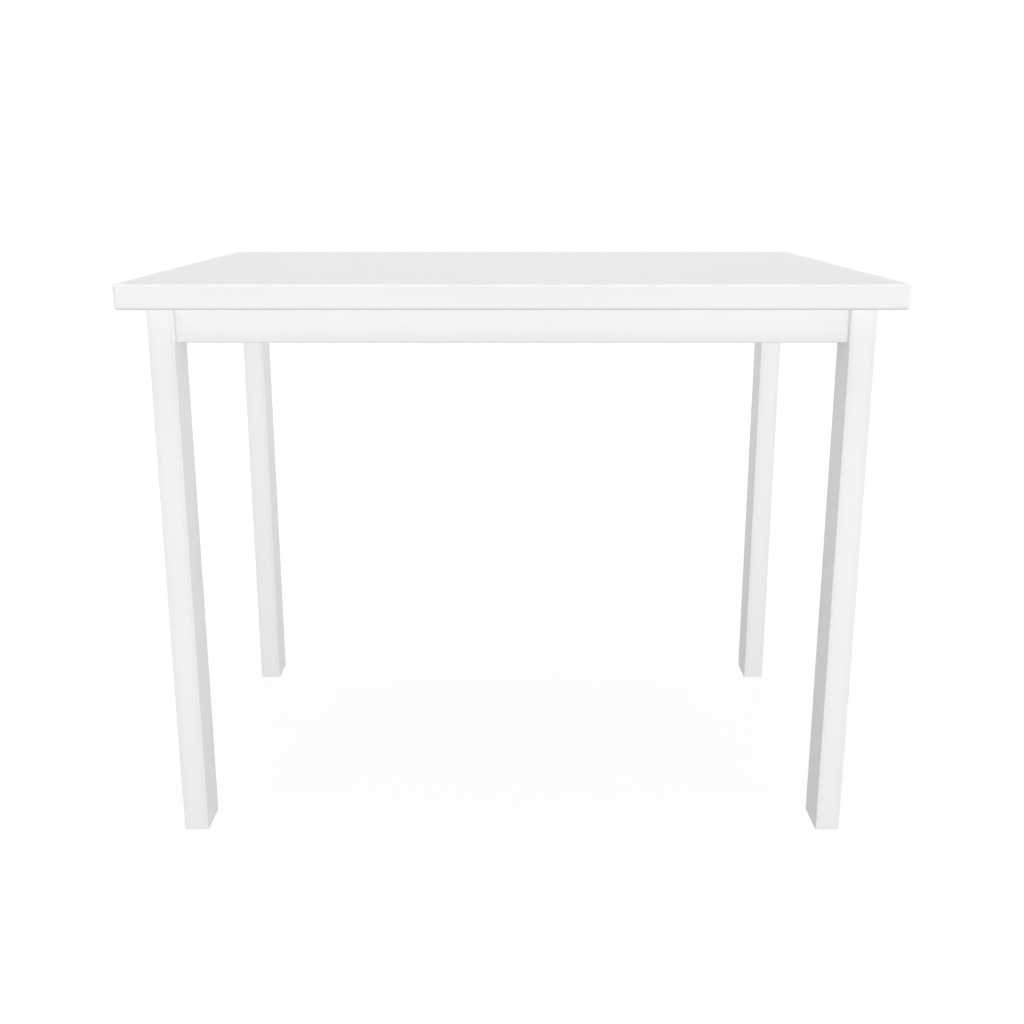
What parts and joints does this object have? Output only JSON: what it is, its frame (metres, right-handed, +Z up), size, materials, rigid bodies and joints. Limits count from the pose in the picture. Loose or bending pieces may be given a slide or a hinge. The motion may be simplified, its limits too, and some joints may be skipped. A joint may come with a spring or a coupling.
{
  "type": "dining table",
  "caption": "Small rectangular dining table with an overhanging rounded-edge top, straight rectangular legs set in from its edges and slim recessed aprons, painted white.",
  "frame": {"origin": "on the floor, under the middle of the tabletop", "axes": "+X along the table's length to the right, +Y across its depth to the back, +Z up; the front is at -Y"},
  "size_m": [0.958, 0.691, 0.75],
  "materials": {
    "white_paint": "smooth white satin paint",
    "zinc_steel": "bright zinc-plated steel",
    "nylon": "natural white nylon"
  },
  "bodies": {
    "root": {"apron_back": "white_paint", "apron_front": "white_paint", "apron_left": "white_paint", "apron_right": "white_paint", "clip_screws": "zinc_steel", "corner_bracket_back_left": "zinc_steel", "corner_bracket_back_right": "zinc_steel", "corner_bracket_front_left": "zinc_steel", "corner_bracket_front_right": "zinc_steel", "foot_pad_back_left": "nylon", "foot_pad_back_right": "nylon", "foot_pad_front_left": "nylon", "foot_pad_front_right": "nylon", "hanger_bolts": "zinc_steel", "leg_back_left": "white_paint", "leg_back_right": "white_paint", "leg_front_left": "white_paint", "leg_front_right": "white_paint", "tabletop": "white_paint", "top_clips": "zinc_steel", "washers": "zinc_steel", "wing_nuts": "zinc_steel"}
  },
  "joints": []
}
